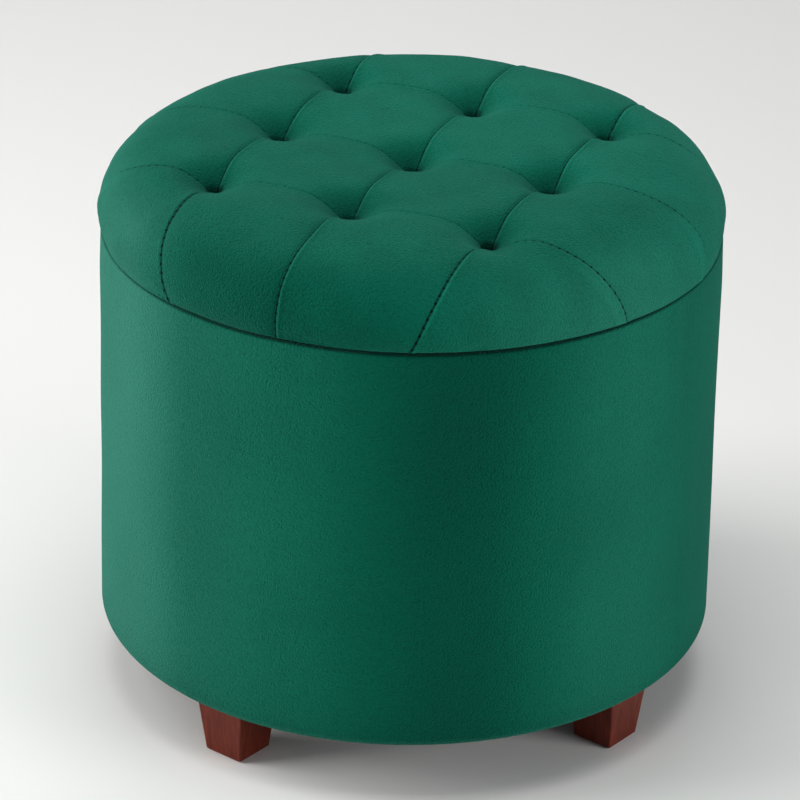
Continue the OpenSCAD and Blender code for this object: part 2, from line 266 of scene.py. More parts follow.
FOOT_GRAIN = (
    (0.32, (0.086, 0.0100, 0.0034)),
    (0.52, (0.148, 0.0195, 0.0068)),
    (0.72, (0.205, 0.0310, 0.0118)),
)
FOOT_BANDS = (0.05, 0.007, 0.004)
BOARD_LIGHT, BOARD_DARK = (0.52, 0.36, 0.20), (0.34, 0.21, 0.10)
LINING = (0.024, 0.0245, 0.0255)
STEEL = (0.62, 0.63, 0.65)
ZINC = (0.60, 0.50, 0.28)
FOAM = (0.80, 0.70, 0.45)
TWINE = (0.78, 0.76, 0.68)


def scaled(colour, factor):
    return tuple(c * factor for c in colour)


class Shader:
    """Short forms for wiring one Principled material."""

    def __init__(self, name):
        self.material = bpy.data.materials.new(name)
        self.material.use_nodes = True
        self.nodes = self.material.node_tree.nodes
        self.links = self.material.node_tree.links
        self.main = self.nodes["Principled BSDF"]

    def set(self, **values):
        for key, value in values.items():
            self.main.inputs[key.replace("_", " ")].default_value = value

    def put(self, value, socket):
        self.links.new(value, self.main.inputs[socket])

    def node(self, kind, **inputs):
        """A node with some inputs set to a number or linked to another node's output."""
        node = self.nodes.new("ShaderNode" + kind)
        for key, value in inputs.items():
            self.feed(value, node.inputs[key])
        return node

    def feed(self, value, socket):
        if isinstance(value, bpy.types.NodeSocket):
            self.links.new(value, socket)
        else:
            socket.default_value = value

    def coords(self):
        return self.node("TexCoord").outputs["Object"]

    def attribute(self, name):
        node = self.node("Attribute")
        node.attribute_name = name
        return node.outputs["Vector"]

    def stretch(self, vector, scale):
        return self.node("Mapping", Vector=vector, Scale=scale).outputs["Vector"]

    def noise(self, vector, scale, detail=3, rough=0.5, distort=0.0):
        looks = {"Scale": scale, "Detail": detail, "Roughness": rough, "Distortion": distort}
        return self.node("TexNoise", Vector=vector, **looks).outputs["Fac"]

    def voronoi(self, vector, scale):
        return self.node("TexVoronoi", Vector=vector, Scale=scale).outputs["Distance"]

    def math(self, operation, a, b=0.0):
        node = self.node("Math")
        node.operation = operation
        self.feed(a, node.inputs[0])
        self.feed(b, node.inputs[1])
        return node.outputs[0]

    def clamp(self, value):
        return self.math("MINIMUM", self.math("MAXIMUM", value, 0.0), 1.0)

    def split(self, vector):
        return self.node("SeparateXYZ", Vector=vector).outputs

    def ramp(self, value, stops):
        node = self.node("ValToRGB", Fac=value)
        elements = node.color_ramp.elements
        while len(elements) < len(stops):
            elements.new(0.5)
        for element, (place, colour) in zip(elements, stops):
            element.position = place
            element.color = (*colour, 1)
        return node.outputs["Color"]

    def mix(self, factor, a, b, kind="MIX"):
        node = self.node("Mix")
        node.data_type = "RGBA"
        node.blend_type = kind
        for number, value in ((0, factor), (6, a), (7, b)):
            self.feed((*value, 1) if isinstance(value, tuple) else value, node.inputs[number])
        return node.outputs[2]

    def bump(self, height, distance, strength):
        normal = self.node("Bump", Height=height, Distance=distance, Strength=strength).outputs["Normal"]
        self.put(normal, "Normal")


def material_floor():
    s = Shader("pale_floor")
    s.set(Base_Color=FLOOR_COLOUR, Roughness=0.9, Specular_IOR_Level=0.1)
    return s.material


def velvet_seams_and_pit_shade(s, height):
    """Darkness of the lid's seams and needle holes, painted shade in the bottom of each tuft,
    and the nap's height with the holes in it."""
    along_row, along_column, from_middle = s.split(s.attribute("fabric"))
    column, row, tuft = s.split(s.attribute("seam"))
    side = s.clamp(s.math("DIVIDE", s.math("SUBTRACT", from_middle, SIDE_FROM), SIDE_OVER))
    dark = 0.0
    for gap, along, looks in ((column, along_column, COLUMN_SEAMS), (row, along_row, ROW_SEAMS)):
        line_on_top, more_on_side, holes_on_top = looks
        line = s.math("SUBTRACT", 1.0, s.math("DIVIDE", gap, SEAM_HALF_WIDTH))
        line = s.math("MAXIMUM", line, 0.0)
        depth = s.math("ADD", s.math("MULTIPLY", side, more_on_side), line_on_top)
        dark = s.math("ADD", dark, s.math("MULTIPLY", line, depth))
        stitch = s.math("COSINE", s.math("MULTIPLY", along, 2 * math.pi / STITCH_PITCH))
        near = s.math("LESS_THAN", gap, SEAM_HALF_WIDTH)
        hole = s.math("MULTIPLY", s.math("GREATER_THAN", stitch, HOLE_FROM), near)
        depth = s.math("MULTIPLY", side, HOLES_ON_SIDE - holes_on_top)
        hole = s.math("MULTIPLY", hole, s.math("ADD", depth, holes_on_top))
        dark = s.math("ADD", dark, hole)
        height = s.math("SUBTRACT", height, s.math("MULTIPLY", hole, HOLE_SUNK))
    # Painted shade in the bottom of each tuft
    fading = s.math("DIVIDE", s.math("SUBTRACT", tuft, PIT_PAINTED_SHADE), PIT_PAINTED_SHADE_OVER)
    pit_painted_shade = s.clamp(s.math("SUBTRACT", 1.0, fading))
    return s.math("MINIMUM", s.math("ADD", dark, pit_painted_shade), DARKEST), height


def material_velvet(name, seamed):
    """Short-pile velvet: pebbled nap, soft patches where the pile lies another way, brightness
    of pile lie with painted light and sheen from the mesh, and on the lid the dark line and
    needle holes of its seams and painted shade in its tufts."""
    s = Shader(name)
    place = s.coords()
    colour = s.ramp(s.noise(place, scale=7.0, rough=0.55, distort=0.6), VELVET_PATCHES)
    # Brightness of the pile's lie with painted light and painted sheen, carried on the mesh
    pile_and_painted_light = s.attribute("nap")
    colour = s.mix(1.0, colour, pile_and_painted_light, "MULTIPLY")
    brushed = s.noise(s.stretch(place, (1, 1, 4.5)), scale=55.0, detail=4, rough=0.6, distort=0.3)
    colour = s.mix(s.math("MULTIPLY", brushed, BRUSHED_MOST), colour, VELVET_BRUSHED)
    nap = s.noise(place, scale=620.0, rough=0.6)
    pebbles = s.voronoi(place, scale=640.0)
    by_pebbles = s.math("MULTIPLY", pebbles, HOLLOW_PEBBLES)
    hollows = s.math("ADD", by_pebbles, s.math("MULTIPLY", nap, HOLLOW_NAP))
    fade = s.math("MULTIPLY", s.split(pile_and_painted_light)[1], HOLLOW_FADE)
    contrast = s.math("MAXIMUM", s.math("SUBTRACT", HOLLOW_CONTRAST, fade), HOLLOW_LEAST)
    colour = s.mix(s.math("MULTIPLY", hollows, contrast), colour, VELVET_HOLLOWS)
    height = s.math("SUBTRACT", nap, s.math("MULTIPLY", pebbles, PEBBLE_DEPTH))
    if seamed:
        dark, height = velvet_seams_and_pit_shade(s, height)
        colour = s.mix(dark, colour, VELVET_SEAMS_AND_PIT_SHADE)
    s.put(colour, "Base Color")
    s.bump(height, 0.0010, 0.9)
    s.set(Roughness=0.85, Specular_IOR_Level=0.02)
    s.set(Sheen_Weight=0.18, Sheen_Roughness=0.45, Sheen_Tint=VELVET_SHEEN)
    return s.material


def material_lining():
    """Spun black lining fabric with its pattern of pressed points."""
    s = Shader("black_lining")
    place = s.coords()
    fibres = s.noise(place, scale=900.0, detail=4, rough=0.65)
    points = s.voronoi(place, scale=420.0)
    s.put(s.ramp(fibres, ((0.3, scaled(LINING, 0.6)), (0.7, scaled(LINING, 1.7)))), "Base Color")
    s.bump(s.math("ADD", fibres, points), 0.0003, 0.6)
    s.set(Roughness=0.85)
    return s.material


def material_foot():
    """Mahogany-stained wood under a satin lacquer, the grain running down the foot."""
    s = Shader("stained_foot")
    place = s.stretch(s.coords(), (1, 1, 0.10))
    grain = s.noise(place, scale=210.0, detail=6, rough=0.65, distort=0.8)
    bands = s.noise(place, scale=45.0, detail=2, distort=0.4)
    colour = s.ramp(grain, FOOT_GRAIN)
    s.put(s.mix(s.math("MULTIPLY", bands, 0.5), colour, FOOT_BANDS), "Base Color")
    s.bump(grain, 0.00012, 0.35)
    s.set(Roughness=0.45, Coat_Weight=0.11, Coat_Roughness=0.25, Specular_IOR_Level=0.13)
    return s.material


def material_board():
    """Raw board: fine fibres with pressed layers."""
    s = Shader("raw_board")
    fibres = s.noise(s.stretch(s.coords(), (1, 1, 6)), scale=160.0, detail=6, rough=0.7)
    s.put(s.ramp(fibres, ((0.3, BOARD_DARK), (0.7, BOARD_LIGHT))), "Base Color")
    s.bump(fibres, 0.0002, 0.5)
    s.set(Roughness=0.75)
    return s.material


def material_metal(name, colour, rough):
    s = Shader(name)
    scuffs = s.noise(s.coords(), scale=800.0, rough=0.6)
    s.put(s.ramp(scuffs, ((0.35, scaled(colour, 0.75)), (0.65, colour))), "Base Color")
    s.bump(scuffs, 0.00005, 0.3)
    s.set(Metallic=1.0, Roughness=rough)
    return s.material


def material_soft(name, colour):
    """Foam and fibre fill: pale, matt and open-celled."""
    s = Shader(name)
    cells = s.noise(s.coords(), scale=700.0, detail=4, rough=0.7)
    s.put(s.ramp(cells, ((0.3, scaled(colour, 0.8)), (0.7, colour))), "Base Color")
    s.bump(cells, 0.0006, 0.5)
    s.set(Roughness=0.9)
    return s.material


# ---------------------------------------------------------------- the pile's lie, with painted light and sheen

# Painted brightness of the velvet: partly by the way its pile lies, partly painted light
# and shade, lighter towards the window and darker across the front; paleness is a
# painted sheen, strongest on the window side. Round the drum: bearing from the middle of
# the front, in degrees, brightness, and paleness.
DRUM_PILE_AND_PAINTED_LIGHT = (
    (-180, 1.00, 0.5), (-150, 1.06, 0.5), (-120, 1.00, 0.8), (-95, 1.15, 1.6),
    (-80, 1.19, 1.9), (-60, 1.27, 2.0), (-51, 1.18, 1.5), (-43, 0.95, 0.8),
    (-31, 1.07, 0.5), (-15, 1.12, 0.3), (-4, 0.89, 0.0), (5, 0.68, 0.0),
    (14, 0.66, 0.0), (22, 0.86, 0.1), (35, 1.13, 0.6), (47, 1.13, 0.6),
    (62, 0.89, 0.1), (76, 0.86, 0.0), (100, 0.94, 0.3), (130, 1.05, 0.5),
    (155, 0.95, 0.5), (180, 1.00, 0.5),
)
# Round the lid's side, the same way
LID_SIDE_PILE_AND_PAINTED_LIGHT = (
    (-180, 1.00, 0.5), (-90, 1.05, 1.2), (-60, 1.05, 1.7), (-54, 0.93, 0.9),
    (-43, 0.62, 0.1), (-33, 0.63, 0.1), (-21, 0.77, 0.1), (-11, 0.85, 0.1),
    (-4, 0.92, 0.1), (3, 1.10, 0.2), (11, 1.17, 0.5), (20, 1.27, 0.8),
    (28, 1.28, 0.9), (37, 1.26, 1.0), (47, 1.32, 1.1), (59, 1.19, 0.7),
    (75, 1.02, 0.3), (120, 1.00, 0.3), (180, 1.00, 0.5),
)
# Over the lid's panels, brightness of pile lie and painted light: rows from the back,
# columns from the left, in the lid's own turn
LID_PANEL_PILE_AND_PAINTED_LIGHT = (
    (0.88, 1.06, 1.07, 1.15),
    (0.93, 1.05, 1.08, 1.12),
    (0.90, 0.95, 0.93, 0.96),
    (0.86, 0.88, 0.95, 0.92),
)
# Painted sheen on the lid's top, and how much the painted sheen lifts the red and the blue
LID_PAINTED_SHEEN = 0.25
PAINTED_SHEEN_RED = 10.0
PAINTED_SHEEN_BLUE = 0.08
# How far the brightness blends over a seam, and round the bearings in half degrees
PANEL_BLEND = 26 * MM
HALF_DEGREES = 721
BEARING_BLEND = 21


def pile_and_painted_light_round(table, angle):
    """Painted brightness (pile lie and painted light) and painted sheen at each angle, smoothed between
    the places.
    """
    bearing = (np.degrees(from_front(angle)) + 180) % 360 - 180
    places, light, pale = np.array(table).T
    fine = np.linspace(-180, 180, HALF_DEGREES)
    kernel = np.hanning(BEARING_BLEND) / np.hanning(BEARING_BLEND).sum()
    reach = BEARING_BLEND // 2
    found = []
    for values in (light, pale):
        steps = np.interp(fine, places, values)
        smooth = np.convolve(np.r_[steps[-reach - 1:-1], steps, steps[1:reach + 1]], kernel, "valid")
        found.append(np.interp(bearing, fine, smooth))
    return found


def panel_weights(x):
    """How much each of the four panels across the seam lines counts at x."""
    past = [smoothstep(x, line - PANEL_BLEND / 2, line + PANEL_BLEND / 2) for line in SEAM_LINES]
    past = np.stack([np.ones_like(x), *past, np.zeros_like(x)])
    return past[:-1] - past[1:]


def lid_pile_and_painted_light(u, v, angle, side):
    """Painted brightness (pile lie and painted light) and painted sheen over the lid: by panel on top,
    by bearing round the side.
    """
    top = np.einsum("ij,i...,j...->...", np.array(LID_PANEL_PILE_AND_PAINTED_LIGHT), panel_weights(-v), panel_weights(u))
    light, pale = pile_and_painted_light_round(LID_SIDE_PILE_AND_PAINTED_LIGHT, angle)
    return top + (light - top) * side, LID_PAINTED_SHEEN + (pale - LID_PAINTED_SHEEN) * side


def add_pile_and_painted_light(obj, light, pale):
    light, pale = light.ravel(), pale.ravel()
    # Paleness is painted sheen: it lifts the red, and the blue a little
    red, blue = light * (1 + PAINTED_SHEEN_RED * pale), light * (1 + PAINTED_SHEEN_BLUE * pale)
    add_vector_attribute(obj, "nap", np.stack([red, light, blue], 1))


# ---------------------------------------------------------------- the lid's cover

LID_VELVET_T = 1.0 * MM
LID_ROLL_R = 1.3 * MM
LID_FOLD = 42 * MM

# The crest of the lid's padding, in drum radii: a flat middle, a rounded shoulder and a
# side that draws in a little to its bottom edge
CREST_FLAT = 0.35
CREST_SIDE = 1.0115
CREST_FOOT = -0.099
CREST_TOP = 0.2745
CREST_POWER = 3.9
SIDE_START = 0.085
SIDE_DRAWN_IN = 0.0135
# The fabric's grid lies flat over the middle of the lid, out to this radius
LAID_FLAT = 0.70

# The fabric's grid: finest beside a seam, coarsest between them, growing with distance
GRID_FINEST, GRID_COARSEST, GRID_GROWTH = 0.45 * MM, 3.2 * MM, 0.13
ROLL_GRID = 1.2 * MM

# Seams are shallow valleys with a sharp crease at the stitching: depth and reach. The
# column seams lie deeper, and the panel on one side of them stands up over the other.
SEAM_DIP = (0.6 * MM, 20 * MM)
ROW_CREASE = (0.8 * MM, 1.1 * MM)
COLUMN_CREASE_LOW = (2.0 * MM, 4.5 * MM)
COLUMN_CREASE_HIGH = (2.0 * MM, 1.1 * MM)
# The lip beside a seam: height, distance from the seam, and half width
COLUMN_LIP = (0.8 * MM, 2.6 * MM, 1.7 * MM)
ROW_LIP = (0.35 * MM, 2.4 * MM, 1.6 * MM)
# On the lid's side the seam allowance shows as a raised band along each row seam
ALLOWANCE = 12.5 * MM
ALLOWANCE_RISE = 0.7 * MM
ALLOWANCE_SLOPES = (0.8 * MM, 1.2 * MM)
# Between these drum radii the seams' valleys fade out, and their creases a little
OUTER_FADE = (0.66, 0.84)
VALLEY_FADE, CREASE_FADE = 0.9, 0.25
# The left front column seam, where both sides are swapped, is this share as deep
TURNED_SHARE = 0.5
# How far each tuft is pulled down, by column and row of the lid's own grid, in mm
TUFT_DEPTH = {
    (-1, 1): 17.5, (0, 1): 16.0, (1, 1): 16.5,
    (-1, 0): 16.5, (0, 0): 18.7, (1, 0): 18.5,
    (-1, -1): 16.0, (0, -1): 17.5, (1, -1): 17.0,
}
TUFT_REACH = 24.0 * MM
# On the diagonals a funnel is wider on one side of its tuft and narrower on the other
TUFT_NARROW = (-0.08, 0.26)
TUFT_STEEP = math.radians(135)
TUFT_AHEAD = math.radians(-66)
TUFT_WIDER_AHEAD = 0.16
HOLE_DEPTH = 13 * MM
HOLE_R = 5.6 * MM
# Where the padding has settled: place in the grid, then depth and reach in mm
SETTLED = (
    (-0.5, 0.75, 3.6, 60), (-0.85, 0.35, 2.6, 62), (-0.2, -0.05, 2.6, 50),
    (0.0, -0.5, 1.6, 40), (0.7, 0.0, 0.8, 60),
)
PLATEAU_SETTLED = 4.0 * MM
PLATEAU_REACH = 0.56
# Soft unevenness of the padding, still round the tufts
SWELL, RIPPLE = 0.9 * MM, 0.22 * MM
TUFT_STILL, TUFT_STILL_POWER = 12 * MM, 0.46
# Small puckers at the foot of the left front column seam, slanting across it
PUCKER, PUCKER_PITCH, PUCKER_REACH, PUCKER_SLANT = 0.75 * MM, 8 * MM, 8 * MM, 0.8
# The lid's edge hangs off the drum a little at the front, between these bearings in
# degrees, and sags where the seams' layers meet it
HEM_REACH = 9 * MM
EDGE_LIFT = 1.8 * MM
EDGE_LIFT_RISES, EDGE_LIFT_FALLS = (-58, -36), (34, 62)
EDGE_WAVE = 0.25 * MM
EDGE_BULK, EDGE_BULK_REACH = 0.35 * MM, 4 * MM
# Painted light and shade in the pile's colour: a painted highlight on a seam's edge and over
# a seam allowance, painted shade where the cover turns under into the gap over the drum,
# and painted shade on the steep side of a tuft
LIT_EDGE = 0.30
LIT_COLUMN, LIT_ROW, LIT_HALF_WIDTH = 2.2 * MM, 2.0 * MM, 0.9 * MM
LIT_ROW_SHARE = 0.6
LIT_BAND = 0.10
GAP_PAINTED_SHADE = 0.6
TUFT_SHADE = 0.22
TUFT_SHADE_REACH = 20 * MM
BRUSHED = 0.05
# Where things end, along the fabric from the start of the roll under the lid's edge
VALLEYS_END = (-34 * MM, 2 * MM)
SIDE_ENDS = (-4 * MM, 1 * MM)
PUCKERS_START = (-34 * MM, -10 * MM)
GAP_PAINTED_SHADE_FROM = (-0.4 * MM, 1.2 * MM)
# Where the lid's top turns into its side, in drum radii along the fabric: for the seam
# allowance, and for the painted brightness of pile lie and light
SKIRT_FROM = (0.86, 1.02)
SIDE_PAINTED_LIGHT_FROM = (0.80, 1.02)

lid_swell = Waves(95 * MM)
lid_ripple = Waves(34 * MM)
lid_edge_wave = Waves(120 * MM)
lid_brushed = Waves(48 * MM)


def lid_meridian():
    """The cover's half section from the crown to the edge folded under the board: the
    fabric's own distance from the centre, and its radius and height there."""
    swing = np.radians(np.linspace(90, 0, 400))
    r = CREST_FLAT + (CREST_SIDE - CREST_FLAT) * np.cos(swing) ** (2 / CREST_POWER)
    z = CREST_FOOT + (CREST_TOP - CREST_FOOT) * np.sin(swing) ** (2 / CREST_POWER)
    keep = z > LID_ROLL_R / DRUM_R
    r, z = r[keep], z[keep]
    r = r - SIDE_DRAWN_IN * np.clip(1 - z / SIDE_START, 0, 1) ** 2
    r, z = np.r_[0, r] * DRUM_R, np.r_[CREST_TOP, z] * DRUM_R
    turn = np.radians(np.linspace(0, -90, 9))[1:]
    edge_r = r[-1] - LID_ROLL_R
    roll_r = edge_r + LID_ROLL_R * np.cos(turn)
    roll_z = LID_ROLL_R + LID_ROLL_R * np.sin(turn)
    fold_r = np.linspace(edge_r, edge_r - LID_FOLD, 16)[1:]
    r = np.r_[r, roll_r, fold_r]
    z = np.r_[z, roll_z, np.zeros(len(fold_r))]
    dr, dz = np.diff(r), np.diff(z)
    laid_flat = (r[1:] < LAID_FLAT * DRUM_R) & (z[1:] > 1 * MM)
    step = np.where(laid_flat, np.abs(dr), np.hypot(dr, dz))
    return np.r_[0, np.cumsum(step)], r, z + LID_Z


FABRIC, MERIDIAN_R, MERIDIAN_Z = lid_meridian()
FABRIC_EDGE = FABRIC[-1]
FABRIC_ROLL = FABRIC[-1] - LID_FOLD


def crest(g):
    """The crest of the padding at a distance over the fabric: radius, height, and the
    direction out of the padding there."""
    small = 0.6 * MM
    radius = [np.interp(g + step, FABRIC, MERIDIAN_R) for step in (-small, 0, small)]
    height = [np.interp(g + step, FABRIC, MERIDIAN_Z) for step in (-small, 0, small)]
    slope_r, slope_z = radius[2] - radius[0], height[2] - height[0]
    length = np.hypot(slope_r, slope_z) + 1e-9
    return radius[1], height[1], -slope_z / length, slope_r / length


def spaced_from_seam(reach):
    """Distances from a seam to reach, growing from the finest step to the coarsest."""
    places = [0.0]
    while places[-1] < reach:
        places.append(places[-1] + min(GRID_FINEST + GRID_GROWTH * places[-1], GRID_COARSEST))
    return np.array(places) * (reach / places[-1])


def grid_lines(reach):
    """Lines of the fabric's grid from -reach to reach, close together beside each seam."""
    half = spaced_from_seam(TUFT_PITCH / 2)
    outer = spaced_from_seam(reach - TUFT_PITCH)
    right = np.r_[half, TUFT_PITCH - half[::-1][1:], TUFT_PITCH + outer[1:]]
    return np.r_[-right[::-1][:-1], right]


def past_roll(g, span):
    return smoothstep(g, FABRIC_ROLL + span[0], FABRIC_ROLL + span[1])


def past_radius(g, span):
    return smoothstep(g, span[0] * DRUM_R, span[1] * DRUM_R)


def seam_side(x):
    """Signed distance from the nearest seam."""
    gaps = np.stack([x - line for line in SEAM_LINES])
    nearest = np.abs(gaps).argmin(0)
    return np.take_along_axis(gaps, nearest[None], 0)[0]


def crease(gap, depth_and_reach):
    depth, reach = depth_and_reach
    return depth * np.exp(-gap / reach)


def lip(gap, height_place_width):
    height, place, width = height_place_width
    return height * bell(gap - place, width)


def tuft_relief(u, v):
    """How far the tufts pull the cover in, how much painted shade lies on their steep sides,
    and the distance from the nearest tuft."""
    pull, shade = np.zeros(np.shape(u)), np.zeros(np.shape(u))
    nearest = np.full(np.shape(u), 1.0)
    for (i, j), depth in TUFT_DEPTH.items():
        across, along = u - i * TUFT_PITCH, v - j * TUFT_PITCH
        gap = np.hypot(across, along)
        nearest = np.minimum(nearest, gap)
        bearing = np.arctan2(along, across)
        behind = 0.5 + 0.5 * np.cos(bearing - TUFT_STEEP)
        diagonal = np.abs(np.sin(2 * bearing)) * (TUFT_NARROW[0] + TUFT_NARROW[1] * behind)
        ahead = np.maximum(0, np.cos(bearing - TUFT_AHEAD)) ** 2
        reach = TUFT_REACH * (1 - diagonal + TUFT_WIDER_AHEAD * ahead)
        pull += depth * MM * bell(gap, reach)
        shade += behind * bell(gap, TUFT_SHADE_REACH)
    pull += HOLE_DEPTH / (1 + (nearest / HOLE_R) ** 6)
    return pull, shade, nearest


def settling(u, v, g):
    """How far the padding has settled."""
    down = PLATEAU_SETTLED * np.exp(-((g / (PLATEAU_REACH * DRUM_R)) ** 4))
    for i, j, depth, reach in SETTLED:
        gap = np.hypot(u - i * TUFT_PITCH, v - j * TUFT_PITCH)
        down += depth * MM * bell(gap, reach * MM)
    return down


def puckers(u, v, g, side):
    at_foot = bell(u + TUFT_PITCH + PUCKER_REACH, PUCKER_REACH) * (v < 0)
    at_foot = at_foot * past_roll(g, PUCKERS_START) * side
    slanted = PUCKER_SLANT * (u + TUFT_PITCH) - v
    return PUCKER * at_foot * np.sin(slanted * 2 * math.pi / PUCKER_PITCH)


def hem_shift(u, v, g, phi, du, dv):
    """How far the lid's bottom edge is up or down."""
    bearing = (from_front(phi + LID_TURN) + math.pi) % (2 * math.pi) - math.pi
    bearing = np.degrees(bearing)
    lifted = smoothstep(bearing, *EDGE_LIFT_RISES) * (1 - smoothstep(bearing, *EDGE_LIFT_FALLS))
    bulk = bell(du, EDGE_BULK_REACH) + bell(dv, EDGE_BULK_REACH)
    shift = EDGE_LIFT * lifted + EDGE_WAVE * lid_edge_wave(u, v) - EDGE_BULK * bulk
    return bell(g - FABRIC_ROLL, HEM_REACH) * shift


def lid_surface(u, v):
    """The lid's cover over its flat fabric, in the lid's own turn: points, distance over
    the fabric, distance from the column and row seams and tufts, and brightness with its
    painted highlights and painted shade."""
    g = np.hypot(u, v)
    phi = np.arctan2(v, u)
    r, z, out_r, out_z = crest(g)
    side_u, side_v = seam_side(u), seam_side(v)
    du, dv = np.abs(side_u), np.abs(side_v)
    side = 1 - past_roll(g, SIDE_ENDS)
    outer = past_radius(g, OUTER_FADE)

    depth, reach = SEAM_DIP
    valleys = (1 - past_roll(g, VALLEYS_END)) * (1 - VALLEY_FADE * outer)
    move = -depth * (bell(du, reach) + bell(dv, reach)) * valleys
    # The panel right of a column seam stands up over the left one, but at the foot of
    # the left front seam both lie lower and the other way round
    low = crease(du, COLUMN_CREASE_LOW)
    high = crease(du, COLUMN_CREASE_HIGH) - lip(du, COLUMN_LIP)
    turned = outer * (u < -TUFT_PITCH / 2) * (v < 0)
    column = np.where(side_u < 0, low, high)
    column = column + turned * (TURNED_SHARE * np.where(side_u < 0, high, low) - column)
    row = crease(dv, ROW_CREASE) - lip(dv, ROW_LIP) * (side_v < 0)
    move -= (column + row) * (1 - CREASE_FADE * outer) * side
    band = smoothstep(-side_v, 0, ALLOWANCE_SLOPES[0]) * past_radius(g, SKIRT_FROM) * side
    band = band * (1 - smoothstep(-side_v, ALLOWANCE, ALLOWANCE + ALLOWANCE_SLOPES[1]))
    move += ALLOWANCE_RISE * band

    pull, shade, tuft = tuft_relief(u, v)
    still = np.exp(-tuft / TUFT_STILL)
    uneven = SWELL * lid_swell(u, v) + RIPPLE * lid_ripple(u, v)
    move += uneven * side * (1 - still ** TUFT_STILL_POWER) - pull - settling(u, v, g)
    move += puckers(u, v, g, side)
    x = (r + out_r * move) * np.cos(phi)
    y = (r + out_r * move) * np.sin(phi)
    z = z + out_z * move + hem_shift(u, v, g, phi, du, dv)

    # Painted highlights on the seams' edges and over the allowance band, painted shade where the cover
    # turns under and on the tufts' steep sides
    lit_edge = bell(du - LIT_COLUMN, LIT_HALF_WIDTH) * (side_u > 0) * (1 - turned)
    lit_row = bell(dv - LIT_ROW, LIT_HALF_WIDTH) * (side_v < 0) * (1 - outer)
    lit_edge += LIT_ROW_SHARE * lit_row
    light = (1 + LIT_EDGE * lit_edge * (1 - still) * side) * (1 + LIT_BAND * band)
    light = light * (1 - GAP_PAINTED_SHADE * past_roll(g, GAP_PAINTED_SHADE_FROM)) * (1 - TUFT_SHADE * shade)
    light = light * (1 + BRUSHED * lid_brushed(u, v) * side)
    return x, y, z, g, du, dv, tuft, light


def lid_fabric():
    """The lid cover's flat fabric: its points and faces, close together at the seams and
    where it turns under the edge."""
    lines = grid_lines(FABRIC_EDGE + 2 * MM)
    u, v = np.meshgrid(lines, lines, indexing="ij")
    u, v = u.ravel(), v.ravel()
    faces = grid_faces(len(lines), len(lines))
    g = np.hypot(u, v)
    faces = faces[(g <= FABRIC_EDGE)[faces].sum(1) >= 3]
    faces = faces[(g[faces] < FABRIC_EDGE + 3 * MM).all(1)]
    used, number = np.unique(faces, return_inverse=True)
    flat = bmesh.new()
    points = [flat.verts.new((u[k], v[k], 0)) for k in used]
    for face in number.reshape(-1, 4)[:, ::-1]:
        flat.faces.new([points[k] for k in face])

    def at_roll(edge):
        reach = [vert.co.length for vert in edge.verts]
        return min(reach) < FABRIC_ROLL + 5 * MM and max(reach) > FABRIC_ROLL - 3 * MM

    edges = [edge for edge in flat.edges if at_roll(edge) and edge.calc_length() > ROLL_GRID]
    bmesh.ops.subdivide_edges(flat, edges=edges, cuts=3, use_grid_fill=True)
    flat.verts.index_update()
    places = np.array([vert.co[:2] for vert in flat.verts])
    faces = [[vert.index for vert in face.verts] for face in flat.faces]
    flat.free()
    u, v = places.T
    over = np.minimum(1.0, FABRIC_EDGE / np.maximum(np.hypot(u, v), 1e-9))
    return u * over, v * over, faces


def lid_cover(velvet):
    u, v, faces = lid_fabric()
    x, y, z, g, du, dv, tuft, light = lid_surface(u, v)
    cos_t, sin_t = math.cos(LID_TURN), math.sin(LID_TURN)
    x, y = cos_t * x - sin_t * y, sin_t * x + cos_t * y
    obj = mesh_object("lid_velvet", np.stack([x, y, z], 1), faces, velvet)
    add_vector_attribute(obj, "fabric", np.stack([u, v, g], 1))
    add_vector_attribute(obj, "seam", np.stack([du, dv, tuft], 1))
    # Painted light and sheen over the lid with the pile's lie, times the painted highlights and shade
    # from the surface
    pile_and_painted_light, pale = lid_pile_and_painted_light(u, v, np.arctan2(y, x), past_radius(g, SIDE_PAINTED_LIGHT_FROM))
    add_pile_and_painted_light(obj, pile_and_painted_light * light, pale)
    thicken(obj, LID_VELVET_T)
    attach(obj, "lid")
    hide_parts("lid_cover", "lid_batting", "lid_foam")


# ---------------------------------------------------------------- the drum's cover

DRUM_VELVET_T = 1.2 * MM
RIM_ROLL_R = 2.6 * MM
BOTTOM_ROLL_R = 6.5 * MM
FOLD_UNDER = 70 * MM
TURN_IN = 50 * MM
# What lies between the inner ply's outer face and the velvet inside the rim
INSIDE_RIM = 6.3 * MM
# Rings of points under the drum, by distance in from its side
UNDER_RINGS = [d * MM for d in (70, 30, 14, 11.5, 10.5, 9.5, 8.5, 7.5)]
SIDE_RINGS = 70
DRUM_COLUMNS = 540
# The side stands out past its CAD radius all over, and flares towards the bottom, which
# bulges below the board and sags most at one bearing
DRUM_FULLER = 0.8 * MM
DRUM_FLARE = 1.9 * MM
BOTTOM_BULGE = 2.4 * MM
BOTTOM_BULGE_REACH = 7 * MM
BOTTOM_SAG = 2.0 * MM
BOTTOM_SAG_AT = math.radians(-40)
# Painted shade darkening the side towards its bottom edge, and how far up it reaches
BOTTOM_SHADE, BOTTOM_SHADE_REACH = 0.22, 16 * MM
# From the bottom and from the rim, in shares of the height, the side's curve begins
DRUM_ENDS = 0.12
# Between these distances in from the side, what shapes the side and what bulges below
SIDE_STARTS = (12 * MM, 1 * MM)
BULGE_STARTS = 11.5 * MM
# Unevenness of the side: soft waves all over, and fine ones below the rim that start
# and end at these distances from it
DRUM_SWELL, DRUM_RIPPLE = 0.45, 0.22
RIM_RIPPLE, RIM_RIPPLE_STARTS, RIM_RIPPLE_ENDS = 0.55, 7 * MM, 38 * MM
